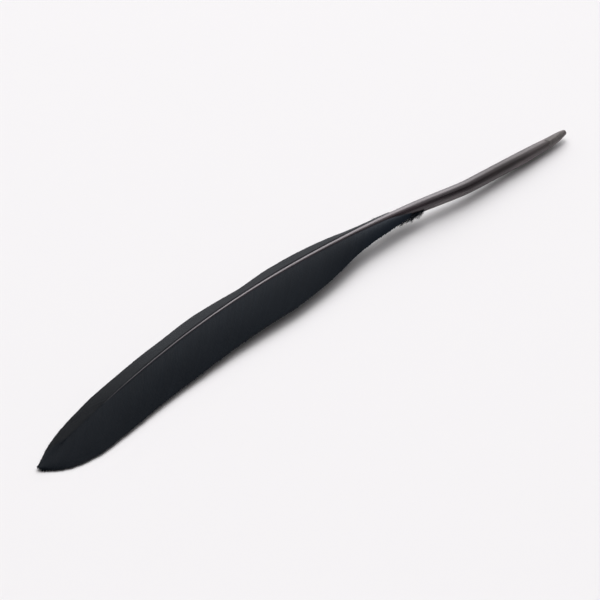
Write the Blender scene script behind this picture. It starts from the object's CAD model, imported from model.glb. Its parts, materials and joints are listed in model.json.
"""A dyed black quill feather lying on a white desk.

The shaft runs roughly along +X from the hollow calamus to the tip. Its trailing
vane is on the +Y side, its leading vane on the -Y side, and +Z is up. The design
is in millimetres. An "arc" is a distance along the shaft from the calamus end,
and the origin lies on the barrel's axis at arc BARREL_START.
"""
import json
import math
import random
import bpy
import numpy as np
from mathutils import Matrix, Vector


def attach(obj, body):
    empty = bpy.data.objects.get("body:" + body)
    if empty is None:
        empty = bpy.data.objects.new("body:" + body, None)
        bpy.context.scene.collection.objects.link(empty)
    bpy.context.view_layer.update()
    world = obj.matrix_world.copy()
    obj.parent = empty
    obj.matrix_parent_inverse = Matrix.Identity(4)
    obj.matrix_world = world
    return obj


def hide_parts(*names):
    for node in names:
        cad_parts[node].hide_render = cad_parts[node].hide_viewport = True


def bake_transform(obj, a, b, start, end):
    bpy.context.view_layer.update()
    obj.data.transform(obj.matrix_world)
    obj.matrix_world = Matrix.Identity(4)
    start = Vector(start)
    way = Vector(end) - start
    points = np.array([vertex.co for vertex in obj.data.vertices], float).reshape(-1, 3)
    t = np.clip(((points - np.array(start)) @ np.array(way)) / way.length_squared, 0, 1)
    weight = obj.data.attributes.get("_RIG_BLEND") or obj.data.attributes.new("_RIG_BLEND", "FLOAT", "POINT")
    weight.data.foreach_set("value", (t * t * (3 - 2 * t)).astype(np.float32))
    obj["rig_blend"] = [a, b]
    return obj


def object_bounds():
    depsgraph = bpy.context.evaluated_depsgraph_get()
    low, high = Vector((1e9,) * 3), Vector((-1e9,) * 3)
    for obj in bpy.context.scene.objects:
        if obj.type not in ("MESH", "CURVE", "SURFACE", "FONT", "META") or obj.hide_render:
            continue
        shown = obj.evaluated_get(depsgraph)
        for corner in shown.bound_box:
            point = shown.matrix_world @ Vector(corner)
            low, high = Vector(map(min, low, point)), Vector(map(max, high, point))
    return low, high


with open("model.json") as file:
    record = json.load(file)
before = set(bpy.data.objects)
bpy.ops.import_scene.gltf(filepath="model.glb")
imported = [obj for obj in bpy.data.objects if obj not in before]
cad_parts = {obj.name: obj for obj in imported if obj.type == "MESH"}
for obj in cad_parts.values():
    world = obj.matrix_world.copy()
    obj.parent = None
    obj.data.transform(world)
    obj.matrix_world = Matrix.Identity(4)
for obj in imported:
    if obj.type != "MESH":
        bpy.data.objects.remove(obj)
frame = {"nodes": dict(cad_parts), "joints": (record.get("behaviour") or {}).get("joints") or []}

from types import SimpleNamespace

import bpy
import numpy as np
from mathutils import Vector

cad_lo, cad_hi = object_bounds()
MM = 0.001

# ------------------------------------------------------------ driving curves
LENGTH = 150.0
BARREL_R, WALL, UMBILICUS_R = 1.45, 0.25, 0.30
BARREL_START, BARREL_END, CALAMUS_END, CAVITY_END = 14.0, 29.0, 44.0, 41.5
# the shaft's slope in degrees, level changes starting at an arc
PITCH_BARREL, PITCH_TIP, PITCH_START = 2.6, -4.95, 38

# arc, direction in plan in degrees from +X towards +Y
HEADING = [
    (0, 0.0), (BARREL_END, 0.0), (32, -5.0), (35, -7.3), (38, -7.6), (42, -7.3),
    (46, -7.1), (50, -6.6), (56, -5.2), (60, -4.1), (64, -3.2), (68, -2.5),
    (73, -1.5), (77, -0.5), (81, 0.5), (85, 1.4), (90, 2.5), (95, 3.6),
    (99, 4.5), (103, 5.5), (107, 6.4), (111, 7.3), (116, 8.3), (120, 9.0),
    (125, 9.8), (130, 10.5), (134, 11.1), (138, 11.5), (142, 12.0), (152, 12.6)]
# arc, half width of the shaft
SHAFT_W = [
    (BARREL_END, BARREL_R), (36, 1.42), (44, 1.30), (50, 1.10), (57, 0.85), (64, 0.68),
    (72, 0.57), (82, 0.48), (94, 0.39), (106, 0.31), (118, 0.24), (130, 0.18),
    (138, 0.14), (143, 0.10), (152, 0.09)]
# arc, half height of the shaft
SHAFT_H = [
    (BARREL_END, BARREL_R), (36, 1.44), (44, 1.36), (50, 1.18), (57, 0.93), (64, 0.76),
    (72, 0.65), (82, 0.55), (94, 0.46), (106, 0.38), (118, 0.30), (130, 0.23),
    (138, 0.18), (143, 0.12), (152, 0.11)]
# arc, radius of the nose, the tapered end of the barrel
NOSE = [
    (0.0, 0.42), (0.12, 0.52), (0.3, 0.59), (0.6, 0.65), (1.2, 0.75), (2.0, 0.87),
    (3.0, 0.975), (4.2, 1.07), (5.6, 1.155), (7.2, 1.23), (9.0, 1.305), (11.0, 1.375),
    (12.5, 1.425), (BARREL_START, BARREL_R)]
# arc, how far the nose's centre leans off the barrel's axis
LEAN = [
    (0.0, 0.58), (0.6, 0.545), (1.2, 0.49), (2.0, 0.41), (3.0, 0.32), (4.2, 0.225),
    (5.6, 0.15), (7.2, 0.105), (9.0, 0.08), (11.0, 0.045), (12.5, 0.015),
    (BARREL_START, 0.0)]

# Each vane: sign is its side in Y; edge is (arc, distance of the outline from the
# shaft's centre); angle is (arc, degrees between barb and shaft); sag is (arc, drop
# at the edge). rows, bow, keel and tooth shape its barbs, flex is how far out the
# bending reaches. A panel is (name, from arc, to arc, parting at its low end,
# splits inside, parting at its high end). A parting is (width at the edge, where
# along the barb it starts), and a split has its barb number in front.
TRAILING = SimpleNamespace(
    name="trailing", sign=1, rows=30, bow=0.050, keel=1.0, tooth=0.22, flex=4.5, seed=20,
    edge=[
        (45.0, 1.4), (46.5, 1.75), (48, 2.15), (52, 2.95), (56, 3.5), (60, 4.15),
        (64, 5.05), (68, 6.15), (72, 7.1), (76, 7.85), (80, 8.35), (84, 8.65),
        (88, 8.7), (94, 8.55), (100, 8.45), (108, 8.35), (116, 8.15),
        (123, 7.95), (130, 7.85), (135, 7.65), (139, 7.4), (141, 7.0),
        (143, 6.4), (145, 5.6), (146.5, 4.75), (147.7, 3.75), (148.8, 2.55),
        (149.6, 1.35), (150.0, 0.6), (150.1, 0.2)],
    angle=[(44, 44), (52, 40), (62, 37), (80, 34.5), (100, 32.5), (120, 29.5),
           (134, 26), (142, 22)],
    sag=[(44, 0.35), (52, 1.15), (60, 1.42), (80, 2.05), (110, 2.1), (130, 1.55),
         (143, 0.82), (152, 0.3)],
    panels=[
        ("lower", 46.0, 68.0, (0.0, 1.0), [(27, 0.010, 0.6)], (0.004, 0.7)),
        ("middle", 68.0, 93.0, (0.004, 0.7), [(17, 0.008, 0.7)], (0.005, 0.6)),
        ("upper", 93.0, 118.0, (0.005, 0.6), [(31, 0.012, 0.6)], (0.004, 0.7)),
        ("outer", 118.0, 141.5, (0.004, 0.7), [(12, 0.008, 0.7), (34, 0.014, 0.7)],
         (0.004, 0.6))])
LEADING = SimpleNamespace(
    name="leading", sign=-1, rows=16, bow=-0.035, keel=0.8, tooth=0.17, flex=2.0, seed=40,
    edge=[
        (49.0, 1.38), (52, 1.55), (56, 1.8), (60, 2.25), (64, 2.8), (70, 3.25),
        (76, 3.47), (80, 3.46), (83, 3.3), (86, 3.05), (88, 2.98), (90, 3.08),
        (93, 3.32), (97, 3.55), (101, 3.74), (105, 3.72), (109, 3.66), (114, 3.78),
        (118, 3.82), (125, 3.85), (129, 3.8), (134, 3.45), (138, 3.1), (141.5, 2.65),
        (144, 2.1), (146.5, 1.35), (149, 0.5), (150.1, 0.2)],
    angle=[(44, 30), (56, 27), (80, 24.5), (105, 22.5), (125, 20), (142, 16)],
    sag=[(44, 0.35), (52, 0.75), (60, 0.82), (90, 1.02), (120, 1.07), (140, 0.63),
         (152, 0.3)],
    panels=[
        ("lower", 50.0, 94.0, (0.0, 1.0), [(40, 0.010, 0.5), (70, 0.012, 0.5)],
         (0.008, 0.4)),
        ("upper", 94.0, 141.5, (0.008, 0.4), [(33, 0.010, 0.5), (72, 0.010, 0.5)],
         (0.004, 0.5))])
BARB_PITCH = 0.50
TIP_BARBS = 12
ROOT_GAP = 0.12          # from the shaft's side to where a barb is measured from
BARB_DROP = 0.05         # of the vane's middle surface below the barb roots
WEB_THICKNESS = 0.05
LAP = 0.006              # overlap of neighbouring barbs at the root of a split
# Lines along one barb: place across it, height of the top, depth of the keel
# below the web, paleness, share of the tooth cut off its end
BARB_PROFILE = np.array([
    (0.00, -0.020, 0.000, 0.0, 1.00),   # valley
    (0.15, 0.006, 0.070, 0.5, 0.35),    # flank
    (0.30, 0.022, 0.105, 1.0, 0.00),    # crest of the ramus
    (0.46, 0.008, 0.070, 0.5, 0.25),    # flank
    (0.74, -0.006, 0.000, 0.1, 0.75)])  # web of barbules


def sample(stations, arc):
    """Monotone cubic through (arc, value) stations, level beyond its ends."""
    x, y = np.array(stations, float).T
    gap = np.diff(x)
    slope = np.diff(y) / gap
    tangent = np.zeros(len(x))
    tangent[0], tangent[-1] = slope[0], slope[-1]
    for i in range(1, len(x) - 1):
        if slope[i - 1] * slope[i] > 0:
            low, high = 2 * gap[i] + gap[i - 1], gap[i] + 2 * gap[i - 1]
            tangent[i] = (low + high) / (low / slope[i - 1] + high / slope[i])
    arc = np.clip(np.asarray(arc, float), x[0], x[-1])
    i = np.clip(np.searchsorted(x, arc, side="right") - 1, 0, len(x) - 2)
    t = (arc - x[i]) / gap[i]
    return ((2 * t**3 - 3 * t**2 + 1) * y[i] + (t**3 - 2 * t**2 + t) * gap[i] * tangent[i]
            + (-2 * t**3 + 3 * t**2) * y[i + 1] + (t**3 - t**2) * gap[i] * tangent[i + 1])


def smooth(low, high, value):
    t = np.clip((np.asarray(value, float) - low) / (high - low), 0, 1)
    return t * t * (3 - 2 * t)


def along(arc):
    """Unit vector down the shaft towards the tip."""
    rise = (PITCH_TIP - PITCH_BARREL) / (LENGTH - PITCH_START)
    pitch = np.radians(PITCH_BARREL + rise * np.clip(arc - PITCH_START, 0, None))
    heading = np.radians(sample(HEADING, arc))
    return np.stack([np.cos(pitch) * np.cos(heading), np.cos(pitch) * np.sin(heading),
                     np.sin(pitch)], -1)


def side(arc):
    """Level unit vector across the shaft, towards the trailing vane."""
    heading = np.radians(sample(HEADING, arc))
    return np.stack([-np.sin(heading), np.cos(heading), 0 * heading], -1)


def up(arc):
    return np.cross(along(arc), side(arc))


# the centre line, added up in short steps
STEP, LINE_END = 0.25, 156
STEP_MIDDLES = (np.arange(int(LINE_END / STEP)) + 0.5) * STEP
LINE = np.vstack([np.zeros(3), np.cumsum(along(STEP_MIDDLES) * STEP, 0)])
LINE -= along(0.0) * BARREL_START
LINE_ARCS = np.arange(len(LINE)) * STEP


def centre(arc):
    return np.stack([np.interp(arc, LINE_ARCS, column) for column in LINE.T], -1)


def half_w(arc):
    return sample(SHAFT_W, arc)


def half_h(arc):
    return sample(SHAFT_H, arc)


def root_z(arc):
    """Height at which the barbs leave the shaft."""
    return centre(arc)[..., 2] + (0.22 + 0.50 * smooth(44.5, 52, arc)) * half_h(arc)


# ------------------------------------------------------------- mesh utilities
def make(name, verts, faces, attributes, sharp=None):
    """A smooth mesh object from points in millimetres; sharp is in degrees."""
    mesh = bpy.data.meshes.new(name)
    mesh.from_pydata((np.asarray(verts, float) * MM).tolist(), [], faces)
    mesh.update()
    for key, values in attributes.items():
        values = np.asarray(values, np.float32)
        kind, field = ("FLOAT", "value") if values.ndim == 1 else ("FLOAT_VECTOR", "vector")
        attribute = mesh.attributes.new(key, kind, "POINT")
        attribute.data.foreach_set(field, values.ravel())
    mesh.polygons.foreach_set("use_smooth", [True] * len(mesh.polygons))
    if sharp:
        mesh.set_sharp_from_angle(angle=math.radians(sharp))
    obj = bpy.data.objects.new(name, mesh)
    bpy.context.scene.collection.objects.link(obj)
    return obj


class Bag:
    """Collects closed shells and their point attributes into one mesh."""

    def __init__(self):
        self.verts, self.faces, self.count, self.attributes = [], [], 0, {}

    def add(self, verts, faces, **attributes):
        self.faces += [tuple(i + self.count for i in face) for face in faces]
        self.verts.append(verts)
        for key, values in attributes.items():
            self.attributes.setdefault(key, []).append(values)
        self.count += len(verts)

    def build(self, name, sharp=None):
        attributes = {key: np.concatenate(runs) for key, runs in self.attributes.items()}
        return make(name, np.vstack(self.verts), self.faces, attributes, sharp)


def slab(top, bottom):
    """Closed shell between two grids of points, columns first."""
    cols, rows = top.shape[:2]
    under = cols * rows
    faces = []
    for i in range(cols - 1):
        for j in range(rows - 1):
            p = i * rows + j
            faces.append((p, p + rows, p + rows + 1, p + 1))
            faces.append((under + p, under + p + 1, under + p + rows + 1, under + p + rows))
    for i in range(cols - 1):
        p, q = i * rows, i * rows + rows - 1
        faces.append((p, under + p, under + p + rows, p + rows))
        faces.append((q, q + rows, under + q + rows, under + q))
    for j in range(rows - 1):
        p, q = j, (cols - 1) * rows + j
        faces.append((p, p + 1, under + p + 1, under + p))
        faces.append((q, under + q, under + q + 1, q + 1))
    # turn the faces outwards where the columns run the other way
    i, j = cols // 2, rows // 2
    if np.cross(top[i + 1, j] - top[i, j], top[i, j + 1] - top[i, j])[2] < 0:
        faces = [face[::-1] for face in faces]
    return np.vstack([top.reshape(-1, 3), bottom.reshape(-1, 3)]), faces


def close_rings(grid):
    """Closed tube through rings of points (ring, point), with a fan at each end."""
    rings, sides = grid.shape[:2]
    faces = []
    for i in range(rings - 1):
        low, high = i * sides, (i + 1) * sides
        for j in range(sides):
            k = (j + 1) % sides
            faces.append((low + j, low + k, high + k, high + j))
    last, end = (rings - 1) * sides, rings * sides
    faces += [(end, (j + 1) % sides, j) for j in range(sides)]
    faces += [(end + 1, last + j, last + (j + 1) % sides) for j in range(sides)]
    caps = [grid[0].mean(0), grid[-1].mean(0)]
    return np.vstack([grid.reshape(-1, 3), caps]), faces


def tube(path, radius, sides):
    """Closed tapering tube along a path, with a radius for each of its points."""
    ahead = np.gradient(path, axis=0)
    ahead /= np.linalg.norm(ahead, axis=1)[:, None]
    level = np.cross(ahead, [0.0, 0.0, 1.0])
    level /= np.linalg.norm(level, axis=1)[:, None] + 1e-12
    upright = np.cross(ahead, level)
    around = (np.arange(sides) / sides * 2 * math.pi)[:, None]
    spokes = np.cos(around) * level[:, None] + np.sin(around) * upright[:, None]
    return close_rings(path[:, None] + radius[:, None, None] * spokes)


# --------------------------------------------------------------------- shaft
# In this section arc is a column, so that it spans a grid with the angles around.
def section(arc, around, grow=0.0):
    """The shaft's outside in its own cross-section, x to the side and y up.
    Round in the barrel, nearly square with a ventral groove in the vane."""
    wide, high = half_w(arc) + grow, half_h(arc) + grow
    cos, sin = np.cos(around), np.sin(around)
    power = np.where(sin > 0, 1.0, 1.0 - 0.2 * smooth(36, 52, arc))
    x = wide * np.sign(cos) * np.abs(cos) ** power
    y = high * np.sign(sin) * np.abs(sin) ** power
    groove = 0.24 * high * smooth(40, 54, arc)
    return x, np.where(sin < 0, y + groove * np.exp(-((x / (0.30 * wide)) ** 2)), y)


def striae(arc, around, rng):
    """Fine lengthwise ridges of the keratin, in millimetres."""
    ridges = 0
    for count in (7, 11, 16, 23, 31, 38):
        phase, drift, wander = rng.uniform(0, 6.28), rng.uniform(0, 6.28), rng.uniform(9, 22)
        height = 0.0045 if count > 12 else 0.006
        swing = 0.35 * np.sin(arc / wander + drift)
        fade = 0.6 + 0.4 * np.sin(arc / (wander * 0.6) + phase)
        ridges = ridges + height * np.cos(count * around + phase + swing) * fade
    return ridges


def place(arc, x, y):
    """Cross-section coordinates to points of the feather's frame."""
    return centre(arc) + x[..., None] * side(arc) + y[..., None] * up(arc)


def nose_r(arc):
    return sample(NOSE, arc)


def leaned(arc):
    """Cross-section offset of the nose's centre off the barrel's axis."""
    lean = sample(LEAN, arc)
    return -0.8 * lean, 0.6 * lean


def quill_attributes(arc, around, inside):
    return {"q_s": arc, "q_phi": around, "q_in": inside,
            "q_round": np.stack([np.cos(around), np.sin(around), arc * 0.02], -1)}


def full_circle(sides):
    return np.arange(sides) / sides * 2 * math.pi


def make_barrel():
    rng = random.Random(3)
    sides = 112
    around = full_circle(sides)
    # outside, from the vane end back to the nose
    arc = np.concatenate([
        np.linspace(CALAMUS_END + 0.35, 30, 46), np.linspace(29.6, 14.2, 40),
        np.linspace(14, 1.0, 44), [0.7, 0.5, 0.3, 0.18, 0.08, 0.03]])[:, None]
    x, y = section(arc, around)
    relief = striae(arc, around, rng) * smooth(0.0, 3.0, arc)
    # pinched skin on the nose, then faint growth rings
    pinch = (0.035 * np.cos(3 * around + 0.8) + 0.02 * np.cos(7 * around + 2.1)
             + 0.012 * np.cos(13 * around))
    relief = relief + pinch * (1 - smooth(0.4, 6.0, arc))
    for ring, depth, width in ((30.6, 0.016, 0.35), (33.9, 0.010, 0.5),
                               (21.4, 0.006, 0.5), (12.3, 0.007, 0.4)):
        away = arc + 0.25 * np.sin(2 * around + ring) - ring
        relief = relief - depth * np.exp(-((away / width) ** 2))
    scale = nose_r(arc) / BARREL_R * (1 + relief / np.hypot(x, y))
    lean_x, lean_y = leaned(arc)
    outer = place(arc, x * scale + lean_x, y * scale + lean_y)
    # inside, from the umbilicus up the hollow
    bore_arc = np.concatenate([
        [0.02, 0.10, 0.3, 0.6, 0.9, 1.3, 1.8], np.linspace(2.4, 14, 18),
        np.linspace(15, CAVITY_END, 24)])[:, None]
    x, y = section(bore_arc, around)
    thick_skin = 0.18 * (1 - np.clip(bore_arc / BARREL_START, 0, 1))
    nose_bore = np.where(bore_arc < 1.0, UMBILICUS_R + 0.09 * np.clip(0.3 - bore_arc, 0, 1),
                         np.maximum(UMBILICUS_R, nose_r(bore_arc) - WALL - thick_skin))
    bore = np.where(bore_arc < BARREL_START, nose_bore / BARREL_R, 1 - WALL / half_w(bore_arc))
    ragged = (1 + 0.10 * np.cos(2 * around + 0.5) * (1 - smooth(0, 2.0, bore_arc))
              + 0.05 * np.cos(5 * around + 1.0) * (1 - smooth(0, 1.5, bore_arc)))
    lean_x, lean_y = leaned(bore_arc)
    inner = place(bore_arc, x * bore * ragged + lean_x, y * bore * ragged + lean_y)
    verts, faces = close_rings(np.concatenate([outer, inner]))
    rings = len(arc) + len(bore_arc)
    attributes = quill_attributes(
        np.concatenate([np.repeat(arc, sides), np.repeat(bore_arc, sides),
                        [CALAMUS_END, CAVITY_END]]),
        np.concatenate([np.tile(around, rings), [0, 0]]),
        np.concatenate([np.zeros(len(arc) * sides), np.ones(len(bore_arc) * sides), [0, 1]]))
    return make("calamus_barrel", verts, [face[::-1] for face in faces], attributes, 50)


def make_rachis():
    rng = random.Random(5)
    sides, start = 64, CALAMUS_END - 0.4
    around = full_circle(sides)
    arc = np.concatenate([np.linspace(start, 60, 48), np.linspace(60.4, 138, 190),
                          np.linspace(138.4, 144.6, 22)])[:, None]
    x, y = section(arc, around, grow=-0.004)
    relief = (0.8 * striae(arc, around, rng) * (half_w(arc) / 1.2)
              * smooth(start, CALAMUS_END + 2, arc))
    end_taper = np.clip((144.7 - arc) / 1.7, 0.05, 1)
    scale = (1 + relief / np.hypot(x, y)) * end_taper
    # near the tip it sinks, and the barbs close over it
    grid = place(arc, x * scale, y * scale - 0.15 * smooth(121, 134, arc))
    verts, faces = close_rings(grid)
    arcs = np.concatenate([np.repeat(arc, sides), arc[0], arc[-1]])
    angles = np.concatenate([np.tile(around, len(arc)), [0, 0]])
    return make("rachis_shaft", verts, faces, quill_attributes(arcs, angles, 0 * arcs), 60)


def make_flake():
    """A curled scrap of sheath wrapped part of the way round the nose."""
    start, end, rows = 1.5, 6.4, 16
    arc = np.linspace(start, end, rows)[:, None]
    around = np.linspace(0.15, 1.95, 30)
    radius = (nose_r(arc) + 0.014 + 0.04 * np.clip(np.abs(around - 1.05) - 0.55, 0, 1)
              + 0.02 * np.sin(around * 9 + arc) + 0.02 * np.clip(arc - 5.2, 0, 2))
    ragged = (arc + 0.35 * np.sin(around * 5.3) * (arc - start) / (end - start)
              + 0.15 * np.sin(around * 17))
    lean_x, lean_y = leaned(ragged)

    def shell(reach_out):
        return place(ragged, reach_out * np.cos(around) + lean_x,
                     reach_out * np.sin(around) + lean_y)

    verts, faces = slab(shell(np.minimum(radius + 0.035, 1.47)),
                        shell(np.minimum(radius, 1.44)))
    attributes = quill_attributes(np.tile(ragged.ravel(), 2), np.tile(around, 2 * rows),
                                  np.zeros(len(verts)))
    return make("sheath_flake", verts, faces, attributes, 60)


# --------------------------------------------------------------------- vanes
def edge_line(vane):
    """The vane's outline in plan, in finer steps near the tip."""
    start, end = vane.edge[0][0], vane.edge[-1][0]
    arc = np.concatenate([np.arange(start, 141, 0.5), np.arange(141, end, 0.15), [end]])
    return (centre(arc) + side(arc) * (vane.sign * sample(vane.edge, arc))[:, None])[:, :2]


OUTLINE = np.vstack([edge_line(TRAILING), edge_line(LEADING)[::-1]])


def reach(point, aim):
    """Distance from a plan point along a direction to the vane's outline."""
    start, edge = OUTLINE[:-1], np.diff(OUTLINE, axis=0)
    turn = aim[0] * edge[:, 1] - aim[1] * edge[:, 0]
    turn = np.where(np.abs(turn) < 1e-12, 1e-12, turn)
    gap = start - point
    distance = (gap[:, 0] * edge[:, 1] - gap[:, 1] * edge[:, 0]) / turn
    share = (gap[:, 0] * aim[1] - gap[:, 1] * aim[0]) / turn
    hit = (distance > 0.05) & (share >= -1e-9) & (share <= 1 + 1e-9)
    return distance[hit].min()


def cast_barbs(arcs, offsets, turns):
    """Plan points where barbs start and meet the outline. They start at an offset
    to the side of the shaft and are turned from it by some degrees."""
    heading = np.radians(sample(HEADING, arcs) + turns)
    roots = (centre(arcs) + side(arcs) * offsets[:, None])[:, :2]
    aims = np.stack([np.cos(heading), np.sin(heading)], -1)
    lengths = np.array([reach(root, aim) for root, aim in zip(roots, aims)])
    return roots, roots + aims * lengths[:, None]


def locate(plan):
    """Nearest arc on the centre line and signed offset, for plan points."""
    arcs = np.linspace(40, 153, 1131)
    line = centre(arcs)[:, :2]
    flat = plan.reshape(-1, 2)
    best = np.empty(len(flat))
    chunk = 4000  # keeps the table of distances small
    for i in range(0, len(flat), chunk):
        away = flat[i:i + chunk, None] - line[None]
        best[i:i + chunk] = arcs[(away ** 2).sum(-1).argmin(1)]
    offset = ((flat - centre(best)[:, :2]) * side(best)[:, :2]).sum(1)
    return best.reshape(plan.shape[:-1]), offset.reshape(plan.shape[:-1])


def wave(x, y):
    """Slow, gentle unevenness of the vane."""
    rng = random.Random(4)
    height = 0 * x
    for _ in range(6):
        along_x, along_y = rng.uniform(0.05, 0.5), rng.uniform(-0.5, 0.5)
        phase, size = rng.uniform(0, 6.28), rng.uniform(0.3, 1.0)
        height = height + size * np.sin(along_x * x + along_y * y + phase)
    return height / 3


def surface(plan):
    """Height of the vane's middle surface over plan points, with their arc and
    how far out they lie: 0 at the shaft, 1 at the edge."""
    arc, offset = locate(plan)
    trailing = offset > 0
    edge = np.where(trailing, sample(TRAILING.edge, arc), sample(LEADING.edge, arc))
    sag = np.where(trailing, sample(TRAILING.sag, arc), sample(LEADING.sag, arc))
    shaft = half_w(arc)
    out = np.clip((np.abs(offset) - shaft) / np.maximum(edge - shaft, 0.4), 0, 1.15)
    rise = (0.10 * np.where(trailing, 1, 0.5) * np.sin(np.clip(out, 0, 1) * math.pi)
            * smooth(46, 60, arc))
    z = root_z(arc) - BARB_DROP - sag * out ** 1.55 + rise
    z = z + 0.07 * wave(plan[..., 0], plan[..., 1]) * smooth(0.1, 0.8, out)
    return z, arc, out


def web(bag, roots, ends, bows, rng, low, high, *, rows, lap, keel, tooth, lane):
    """A run of zipped barbs as one closed, ribbed shell. roots and ends are the
    plan points of the barb boundaries and bows how far each one curves; low and
    high are the partings at its two sides, and lane numbers its first barb."""
    count = len(roots) - 1
    profile = BARB_PROFILE[np.append(np.tile(np.arange(len(BARB_PROFILE)), count), 0)]
    _, height, depth, crest, cut = profile.T
    place_across = np.arange(count)[:, None] + BARB_PROFILE[:, 0]
    lanes = np.append(place_across.ravel(), count)
    barb = np.minimum(lanes.astype(int), count - 1)
    part = lanes - barb

    def between(values):
        return (values[barb].T * (1 - part) + values[barb + 1].T * part).T

    root = between(roots)
    aim = between(ends) - root
    length = np.linalg.norm(aim, axis=1)
    aim = aim / length[:, None]
    normal = np.stack([-aim[:, 1], aim[:, 0]], -1)
    # each barb ends in its own small point, some a little longer
    uneven = np.array([rng.uniform(-0.15, 0.05) + (0.22 if rng.random() < 0.10 else 0)
                       for _ in range(count)])
    long = np.maximum(length + uneven[barb] + 0.05 - tooth * cut, 0.3)
    # the roots sink a little into the shaft, and meet over it near the tip
    root_arc = locate(root)[0]
    shaft = half_w(root_arc)
    meet = smooth(122, 133, root_arc)
    slant = np.maximum(np.abs((aim * side(root_arc)[:, :2]).sum(1)), 0.2)
    inset = ((1 - meet) * (ROOT_GAP + 0.45 * shaft) / np.maximum(slant, 0.45)
             + meet * np.minimum((shaft + ROOT_GAP + 0.03) / slant, 1.3))
    steps = np.concatenate([[0.0], np.linspace(0, 1, rows) ** 0.9])
    run = steps * long[:, None]
    run[:, 0] = -inset
    far = np.clip(run / length[:, None], 0, 1.05)
    bend = (between(bows) * length)[:, None] * 4 * far * (1 - far)
    plan = root[:, None] + aim[:, None] * run[..., None] + normal[:, None] * bend[..., None]

    def opening(width, start):
        return width * np.clip((far - start) / max(1 - start, 1e-3), 0, 1) ** 1.6 - lap

    # splits: neighbours lap slightly at the root and part towards the edge
    across = np.linspace(0, 1, len(lanes))[:, None]
    away = np.gradient(root, axis=0)
    away /= np.linalg.norm(away, axis=1)[:, None] + 1e-9
    shift = opening(*low) * (1 - across) ** 3 - opening(*high) * across ** 3
    plan = plan + away[:, None] * shift[..., None]
    z, arc, out = surface(plan)
    taper = 1 - 0.5 * far ** 3
    lean = np.array([rng.uniform(-1, 1) for _ in range(count)])[barb] * 0.006

    def barb_width(points):
        return np.abs(((points[barb + 1] - points[barb]) * normal).sum(1))[:, None]

    # crowded barbs are flatter: the relief follows each barb's own width
    width = barb_width(roots) * (1 - far) + barb_width(ends) * far
    relief = np.clip(width / 0.17, 0.08, 1.0)
    top = z + (height + lean)[:, None] * relief * taper
    ridge = depth[:, None] * relief * (1 - 0.65 * far) * keel
    bottom = np.minimum(z - (WEB_THICKNESS + ridge) * taper, top - 0.022)
    verts, faces = slab(np.concatenate([plan, top[..., None]], -1),
                        np.concatenate([plan, bottom[..., None]], -1))
    tone = np.array([rng.uniform(0, 1) for _ in range(count)])

    def on_both(values):
        return np.tile(np.broadcast_to(values, run.shape).ravel(), 2)

    bag.add(verts, faces, v_tone=on_both(tone[barb][:, None]),
            v_crest=on_both(crest[:, None]), v_out=on_both(out), v_s=on_both(arc),
            v_lane=np.stack([on_both((lanes + lane)[:, None]), on_both(run),
                             np.repeat([1.0, 0.0], run.size)], -1))


def make_panel(vane, number):
    part, start, end, low, splits, high = vane.panels[number]
    seed = vane.seed + number
    rng = random.Random(seed)
    count = round((end - start) / BARB_PITCH)
    arcs = start + (end - start) * np.arange(count + 1) / count
    roots, ends = cast_barbs(arcs, vane.sign * (half_w(arcs) + ROOT_GAP),
                             vane.sign * sample(vane.angle, arcs))
    bows = np.full(count + 1, vane.bow)
    bag = Bag()
    partings = [(0, *low), *splits, (count, *high)]
    for k, ((i, *below), (j, *above)) in enumerate(zip(partings, partings[1:])):
        run = slice(i, j + 1)
        # only a run with a split on both sides laps its neighbours
        web(bag, roots[run], ends[run], bows[run], rng, below, above, rows=vane.rows,
            lap=LAP if 0 < k < len(partings) - 2 else 0.0,
            keel=vane.keel, tooth=vane.tooth, lane=i + 200 * seed)
    return bag.build(vane.name + "_vane_" + part, 55)


def make_tip():
    """The fan of barbs round the end of the shaft, from one vane to the other."""
    last = TRAILING.panels[-1][2]
    wide = float(half_w(last)) + ROOT_GAP
    # arc and sideways offset of a line round the shaft's end
    path = np.array([(last, wide), (142.1, 0.20), (142.7, 0.10), (142.9, 0.0),
                     (142.7, -0.10), (142.1, -0.20), (last, -wide)])
    share = np.arange(TIP_BARBS + 1) / TIP_BARBS
    corners = np.arange(len(path))
    arcs, offsets = [np.interp(share * corners[-1], corners, column) for column in path.T]
    turns = sample(TRAILING.angle, last) * (1 - share) - sample(LEADING.angle, last) * share
    roots, ends = cast_barbs(arcs, offsets, turns)
    bag = Bag()
    bows = np.linspace(TRAILING.bow, LEADING.bow, TIP_BARBS + 1)
    web(bag, roots, ends, bows, random.Random(60), (0.004, 0.5), (0.004, 0.5),
        rows=26, lap=0.0, keel=0.5, tooth=0.30, lane=9000)
    return bag.build("tip_fan", 55)


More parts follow.
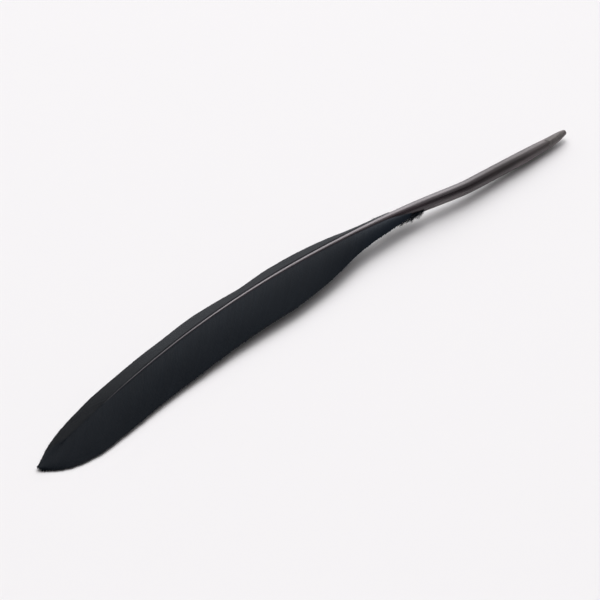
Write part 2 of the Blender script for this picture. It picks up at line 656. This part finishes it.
def make_down(vane, count, start, end, seed):
    """Loose downy barbs with soft barbules, sweeping back along the vane's base."""
    rng = random.Random(seed)
    bag = Bag()

    def strand(path, radius, sides, out):
        verts, faces = tube(path, radius, sides)
        blank = np.zeros(len(verts))
        bag.add(verts, faces, v_tone=blank + rng.random(), v_crest=blank,
                v_out=blank + out, v_s=blank + arc, v_lane=verts * 0.5)

    t = np.linspace(0, 1, 12)
    hair_t = np.linspace(0, 1, 5)
    for i in range(count):
        share = (i + rng.random() * 0.6) / count
        arc = start + (end - start) * share
        turn = math.radians(float(sample(HEADING, arc)) + vane.sign * rng.uniform(24, 46))
        long = rng.uniform(1.3, 2.1) + share
        aim = np.array([math.cos(turn), math.sin(turn), 0])
        ahead = along(arc)
        root = (centre(arc) + side(arc) * vane.sign * float(half_w(arc)) * 0.84
                - np.array([0, 0, 0.22 + 0.22 * (i % 2)]))
        sink, curl = rng.uniform(0.25, 0.5), rng.uniform(0.25, 0.6)
        path = root + np.outer(t * long * 0.8, aim) + np.outer(t**2 * long * curl, ahead)
        path[:, 2] += np.sin(t * rng.uniform(4, 8)) * 0.05 - t**1.5 * sink
        strand(path, 0.040 * (1 - 0.7 * t), sides=5, out=0.2)
        for _ in range(120):
            spot = rng.uniform(0.03, 1.0)
            base = np.array([np.interp(spot, t, column) for column in path.T])
            splay = math.radians(rng.uniform(-62, 62)) + turn
            hair_long = rng.uniform(0.30, 0.80)
            hair_aim = [math.cos(splay), math.sin(splay), rng.uniform(-0.35, 0.22)]
            hair = (base + np.outer(hair_t * hair_long, hair_aim)
                    + np.outer(hair_t**2 * 0.25, ahead))
            strand(hair, 0.017 * (1 - 0.6 * hair_t), sides=3, out=0.3)
    return bag.build("down_" + vane.name)


# ----------------------------------------------------------------- materials
class Nodes:
    """Adds nodes to one shader tree. An input takes a value or a node's output,
    and a colour is three numbers."""

    def __init__(self, tree):
        self.tree = tree
        tree.nodes.clear()

    def fill(self, node, inputs):
        for key, value in inputs.items():
            socket = node.inputs[key]
            if isinstance(value, bpy.types.NodeSocket):
                self.tree.links.new(value, socket)
            else:
                socket.default_value = (*value, 1) if socket.type == "RGBA" else value

    def add(self, kind, inputs=None, **settings):
        node = self.tree.nodes.new("ShaderNode" + kind)
        for key, value in settings.items():
            setattr(node, key, value)
        self.fill(node, inputs or {})
        return node

    def attribute(self, name, output="Fac"):
        return self.add("Attribute", attribute_name=name).outputs[output]

    def coordinates(self, kind):
        return self.add("TexCoord").outputs[kind]

    def math(self, operation, *values, clamp=False):
        inputs = dict(enumerate(values))
        return self.add("Math", inputs, operation=operation, use_clamp=clamp).outputs[0]

    def times(self, first, second):
        return self.math("MULTIPLY", first, second)

    def plus(self, first, second):
        return self.math("ADD", first, second)

    def vector(self, operation, first, second, output="Vector"):
        node = self.add("VectorMath", {0: first, 1: second}, operation=operation)
        return node.outputs[output]

    def combine(self, x, y, z):
        return self.add("CombineXYZ", {0: x, 1: y, 2: z}).outputs[0]

    def smooth_range(self, value, start, end, at_start, at_end):
        inputs = dict(enumerate((value, start, end, at_start, at_end)))
        return self.add("MapRange", inputs, interpolation_type="SMOOTHSTEP").outputs[0]

    def ramp(self, value, stops):
        """stops are (position, colour or grey level)."""
        node = self.add("ValToRGB", {0: value})
        node.color_ramp.interpolation = "EASE"
        elements = node.color_ramp.elements
        while len(elements) < len(stops):
            elements.new(0.5)
        for element, (position, colour) in zip(elements, stops):
            element.position = position
            element.color = (*(colour if isinstance(colour, tuple) else (colour,) * 3), 1)
        return node.outputs[0]

    def mix(self, share, first, second, mode="MIX"):
        inputs = {0: share, 6: first, 7: second}
        return self.add("Mix", inputs, data_type="RGBA", blend_type=mode).outputs[2]

    def noise(self, vector, scale, detail, roughness=0.55):
        return self.add("TexNoise", {"Scale": scale, "Detail": detail, "Roughness": roughness,
                                     "Vector": vector}).outputs["Fac"]

    def bump(self, height, strength, distance, **below):
        """distance is in metres; Normal= takes a bump to lie over."""
        return self.add("Bump", {"Strength": strength, "Distance": distance,
                                 "Height": height, **below}).outputs[0]


def new_material(name):
    material = bpy.data.materials.new(name)
    material.use_nodes = True
    nodes = Nodes(material.node_tree)
    output = nodes.add("OutputMaterial")
    shader = nodes.add("BsdfPrincipled")
    nodes.fill(output, {0: shader.outputs[0]})
    return material, nodes, shader


def vane_material(name, base, light, specular, tip_level, groove_level):
    """Dyed barbs. The levels scale colour and shine towards the feather's tip
    and in the groove beside the shaft."""
    material, nodes, shader = new_material(name)
    lane_vector = nodes.attribute("v_lane", "Vector")
    lane, run = nodes.add("SeparateXYZ", {0: lane_vector}).outputs[:2]
    tone = nodes.attribute("v_tone")
    crest = nodes.attribute("v_crest")
    outward = nodes.attribute("v_out")
    # dye takes unevenly: slow patches, and each barb its own shade
    patch = nodes.noise(nodes.coordinates("Object"), scale=160, detail=4)
    streak_at = nodes.combine(nodes.times(lane, 0.9), nodes.times(run, 0.10), 0)
    streak = nodes.noise(streak_at, scale=1.0, detail=4)
    dye = nodes.plus(nodes.times(tone, 0.30), nodes.times(streak, 0.45))
    dye = nodes.plus(dye, nodes.times(patch, 0.45))
    dye = nodes.math("MULTIPLY", dye, 0.8, clamp=True)
    dark = tuple(c * 0.75 for c in base)
    colour = nodes.ramp(dye, [(0.2, dark), (0.5, base), (0.85, light)])
    # the ramus is a little paler than the barbules
    colour = nodes.mix(nodes.times(crest, 0.35), colour, light)
    # the sheen of the vane dies away towards the feather tip
    arc = nodes.attribute("v_s")
    far = nodes.smooth_range(arc, start=104.0, end=134.0, at_start=1.0, at_end=tip_level)
    # and the short, looser barbs at its base are duller and paler
    near = nodes.smooth_range(arc, start=48.0, end=68.0, at_start=2.1, at_end=1.0)
    # the barbs dip into a shallow groove beside the shaft, which ends before the tip
    dip = nodes.smooth_range(outward, start=0.02, end=0.13, at_start=groove_level, at_end=1.0)
    groove = nodes.smooth_range(arc, start=112.0, end=126.0, at_start=groove_level, at_end=1.0)
    nodes.fill(dip.node, {3: groove})
    level = nodes.times(nodes.times(far, near), dip)
    colour = nodes.mix(1.0, colour, nodes.combine(level, level, level), "MULTIPLY")
    shine = nodes.times(level, specular)
    # barbules: fine slanting lines either side of each ramus
    slant = nodes.plus(nodes.times(run, 4.2), nodes.times(lane, 1.1))
    lines = nodes.add("TexWave", {
        "Scale": 1.0, "Distortion": 0.6, "Detail": 1.0, "Detail Scale": 2.0,
        "Vector": nodes.combine(slant, 0, 0)}, wave_type="BANDS", bands_direction="X")
    barbules = nodes.bump(lines.outputs["Fac"], strength=0.25, distance=0.00002)
    grain = nodes.bump(streak, strength=0.20, distance=0.00006, Normal=barbules)
    nodes.fill(shader, {
        "Base Color": colour,
        "Specular IOR Level": shine,
        "Specular Tint": (0.82, 0.93, 1.0),
        "Normal": grain,
        "Roughness": nodes.plus(nodes.times(streak, 0.22), 0.39),
        "Sheen Weight": 0.012,
        "Sheen Roughness": 0.45,
        "Sheen Tint": (0.75, 0.85, 1.0)})
    return material


def keratin_material(name):
    material, nodes, shader = new_material(name)
    arc = nodes.attribute("q_s")
    inside = nodes.attribute("q_in")
    rounded = nodes.attribute("q_round", "Vector")
    # lengthwise fibres, and broad blots of dye
    fibre_at = nodes.vector("MULTIPLY", rounded, (9.0, 9.0, 2.2))
    fibre = nodes.noise(fibre_at, scale=2.2, detail=5, roughness=0.65)
    blot_at = nodes.vector("MULTIPLY", rounded, (1.1, 1.1, 5.0))
    blot = nodes.noise(blot_at, scale=1.6, detail=3, roughness=0.5)
    share = nodes.math("DIVIDE", arc, LENGTH)
    # the dye is thinner, browner on the barrel's end and black up the vane
    dye = nodes.ramp(share, [
        (0.00, (0.085, 0.076, 0.074)), (0.05, (0.055, 0.048, 0.047)),
        (0.13, (0.023, 0.019, 0.019)), (0.20, (0.010, 0.0072, 0.0082)),
        (0.33, (0.018, 0.0132, 0.016)), (0.55, (0.030, 0.024, 0.029)),
        (0.80, (0.0155, 0.016, 0.0195)), (0.88, (0.0075, 0.0085, 0.0110))])
    uneven = nodes.plus(nodes.times(fibre, 0.9), nodes.times(blot, 0.5))
    shades = nodes.ramp(uneven, [
        (0.35, (0.45, 0.42, 0.42)), (0.62, (1.0, 1.0, 1.0)), (0.88, (2.1, 1.9, 1.9))])
    colour = nodes.mix(1.0, dye, shades, "MULTIPLY")
    # less dye has taken on the lower flank of the barrel
    flank = nodes.vector("DOT_PRODUCT", rounded, (0.87, -0.49, 0.0), "Value")
    band = nodes.smooth_range(flank, start=0.62, end=0.98, at_start=0.0, at_end=1.0)
    on_barrel = nodes.smooth_range(arc, start=36.0, end=45.0, at_start=1.0, at_end=0.0)
    bare = nodes.times(band, on_barrel)
    pale = nodes.mix(1.0, (0.100, 0.092, 0.092), shades, "MULTIPLY")
    colour = nodes.mix(bare, colour, pale)
    colour = nodes.mix(inside, colour, (0.006, 0.005, 0.005))
    polish = nodes.ramp(share, [
        (0.00, 0.34), (0.13, 0.28), (0.22, 0.17), (0.60, 0.15), (0.95, 0.26)])
    roughness = nodes.plus(nodes.times(fibre, 0.20), polish)
    # the shine weakens where the shaft thins out towards the tip
    shine = nodes.ramp(share, [
        (0.00, 0.48), (0.09, 0.40), (0.15, 0.32), (0.20, 0.38), (0.25, 0.55),
        (0.62, 0.55), (0.74, 0.30), (0.85, 0.10), (0.92, 0.04)])
    ridges = nodes.bump(fibre, strength=0.35, distance=0.00004)
    nodes.fill(shader, {
        "Base Color": colour,
        "Roughness": roughness,
        "IOR": 1.60,
        "Specular IOR Level": shine,
        "Specular Tint": (1.0, 0.93, 0.97),
        "Coat Weight": 0.0,
        "Coat Roughness": 0.22,
        "Normal": nodes.bump(blot, strength=0.25, distance=0.00008, Normal=ridges)})
    return material


def paper_material(name, base):
    material, nodes, shader = new_material(name)
    mottle = nodes.noise(nodes.coordinates("Object"), scale=900, detail=5, roughness=0.6)
    dark, light = [tuple(c * gain for c in base) for gain in (0.5, 1.7)]
    nodes.fill(shader, {
        "Base Color": nodes.ramp(mottle, [(0.3, dark), (0.55, base), (0.8, light)]),
        "Roughness": nodes.plus(nodes.times(mottle, 0.3), 0.45),
        "Normal": nodes.bump(mottle, strength=0.4, distance=0.00003)})
    return material


vane_black = vane_material(
    "vane_black", base=(0.0031, 0.0049, 0.0084), light=(0.0064, 0.0094, 0.0148),
    specular=0.055, tip_level=0.82, groove_level=1.0)
vane_black_leading = vane_material(
    "vane_black_leading", base=(0.0082, 0.0090, 0.0120), light=(0.0150, 0.0162, 0.0205),
    specular=0.125, tip_level=0.48, groove_level=0.40)
keratin = keratin_material("dyed_keratin")
sheath_paper = paper_material("sheath_paper", (0.125, 0.112, 0.108))
pulp_paper = paper_material("pulp_paper", (0.07, 0.06, 0.055))
pith_foam = paper_material("pith_foam", (0.10, 0.095, 0.095))


# -------------------------------------------------------------------- pieces
def fix_to_shaft(obj, material, part):
    obj.data.materials.append(material)
    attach(obj, "shaft")
    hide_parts(part)


joints = {joint["child"]: joint for joint in frame["joints"]}


def bend_panel(obj, body, vane):
    """The barb roots stay on the shaft and the vane bows up smoothly from them."""
    joint = joints[body]
    hinge = Vector(joint["pos_m"])
    out = Vector((0, 0, 1)).cross(Vector(joint["axis"]).normalized()).normalized()
    if out.y * vane.sign < 0:
        out = -out
    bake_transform(obj, "shaft", body, start=hinge + out * 0.05 * MM, end=hinge + out * vane.flex * MM)


fix_to_shaft(make_barrel(), keratin, "calamus")
fix_to_shaft(make_rachis(), keratin, "rachis_cortex")
fix_to_shaft(make_flake(), sheath_paper, "sheath_remnant")

for node_name, paper in (("pulp_caps", pulp_paper), ("rachis_medulla", pith_foam)):
    slots = frame["nodes"][node_name].data.materials
    slots.clear()
    slots.append(paper)

for vane, black in ((TRAILING, vane_black), (LEADING, vane_black_leading)):
    for number, (part, *_) in enumerate(vane.panels):
        panel = make_panel(vane, number)
        panel.data.materials.append(black)
        bend_panel(panel, f"{vane.name}_{part}_vane", vane)
        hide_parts(f"{vane.name}_barbs_{part}")

fix_to_shaft(make_tip(), vane_black, "tip_barbs")
fix_to_shaft(make_down(TRAILING, count=15, start=42.4, end=47.6, seed=71),
             vane_black, "trailing_down")
fix_to_shaft(make_down(LEADING, count=12, start=43.0, end=50.5, seed=72),
             vane_black, "leading_down")


# --------------------------------------------------------------------- stage
def make_floor():
    floor_z = min(cad_lo.z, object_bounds()[0].z) - 0.02 * MM
    middle = (cad_lo + cad_hi) / 2
    bpy.ops.mesh.primitive_grid_add(x_subdivisions=8, y_subdivisions=8, size=4.0,
                                    location=(middle.x, middle.y, floor_z))
    floor = bpy.context.object
    floor.name = "stage_floor"
    white, nodes, shader = new_material("stage_white")
    nodes.fill(shader, {"Base Color": (0.835, 0.825, 0.83), "Roughness": 0.55,
                        "Specular IOR Level": 0.25})
    floor.data.materials.append(white)


# -------------------------------------------------------------------- camera
# a long lens 39 degrees above the desk, on the +X +Y side of the feather
AZIMUTH, ELEVATION = math.radians(135.856), math.radians(39.0)
CAMERA_DISTANCE = 0.55                    # metres from the aim
AIM = Vector((72.745, 23.61, -2.087))     # millimetres
LENS = 172.368                            # focal length in millimetres
TURN_LEFT, TURN_UP = 3.024, 4.1472        # turn off the aim, in mm at the focal length
toward = Vector((math.sin(AZIMUTH) * math.cos(ELEVATION),
                 -math.cos(AZIMUTH) * math.cos(ELEVATION), math.sin(ELEVATION)))


def make_camera():
    data = bpy.data.cameras.new("camera")
    camera = bpy.data.objects.new("camera", data)
    bpy.context.scene.collection.objects.link(camera)
    camera.location = AIM * MM + toward * CAMERA_DISTANCE
    camera.rotation_mode = "QUATERNION"
    # the camera first faces the aim, then turns from the same place
    level_view = (-toward).to_track_quat("-Z", "Y")
    right, upward = level_view @ Vector((1, 0, 0)), level_view @ Vector((0, 1, 0))
    look = (-toward * LENS - right * TURN_LEFT + upward * TURN_UP).normalized()
    camera.rotation_quaternion = (-toward).rotation_difference(look) @ level_view
    data.sensor_width = 36
    data.lens = LENS
    data.clip_start, data.clip_end = 0.01, 20
    bpy.context.scene.camera = camera


# --------------------------------------------------------------------- light
# strengths of the wide light, its bright core, the horizon and the even fill
SOFT, CORE, RIM, FILL = 0.90, 3.7, 0.29, 0.10


def behind(elevation):
    """Direction to the sky opposite the camera, at a height in degrees."""
    back = Vector((-toward.x, -toward.y, 0)).normalized()
    elevation = math.radians(elevation)
    return (back * math.cos(elevation) + Vector((0, 0, 1)) * math.sin(elevation)).normalized()


def make_world():
    """A wide soft light above and behind the feather, dark towards the camera."""
    world = bpy.data.worlds.new("world")
    bpy.context.scene.world = world
    world.use_nodes = True
    nodes = Nodes(world.node_tree)
    output = nodes.add("OutputWorld")
    sky = nodes.coordinates("Generated")

    def facing(direction):
        return nodes.vector("DOT_PRODUCT", sky, direction, "Value")

    soft = nodes.smooth_range(facing(behind(54)), start=0.42, end=0.80,
                              at_start=0.0, at_end=SOFT)
    core = nodes.smooth_range(facing(behind(44)), start=0.84, end=0.965,
                              at_start=0.0, at_end=CORE)
    lobe = nodes.plus(soft, core)
    height = nodes.math("ABSOLUTE", facing((0, 0, 1)))
    rim = nodes.smooth_range(height, start=0.0, end=0.45, at_start=RIM, at_end=0.0)
    glow = nodes.plus(nodes.plus(lobe, rim), FILL)
    lighting = nodes.add("Background", {0: (1.0, 0.99, 1.0), 1: glow})
    # the camera itself sees plain near-white
    seen = nodes.add("Background", {0: (0.935, 0.925, 0.93)})
    camera_ray = nodes.add("LightPath").outputs["Is Camera Ray"]
    pick = nodes.add("MixShader", {0: camera_ray, 1: lighting.outputs[0], 2: seen.outputs[0]})
    nodes.fill(output, {0: pick.outputs[0]})


make_floor()
make_camera()
make_world()
view = bpy.context.scene.view_settings
view.view_transform = "Standard"
view.look = "None"
view.exposure = 0.0
view.gamma = 1.0
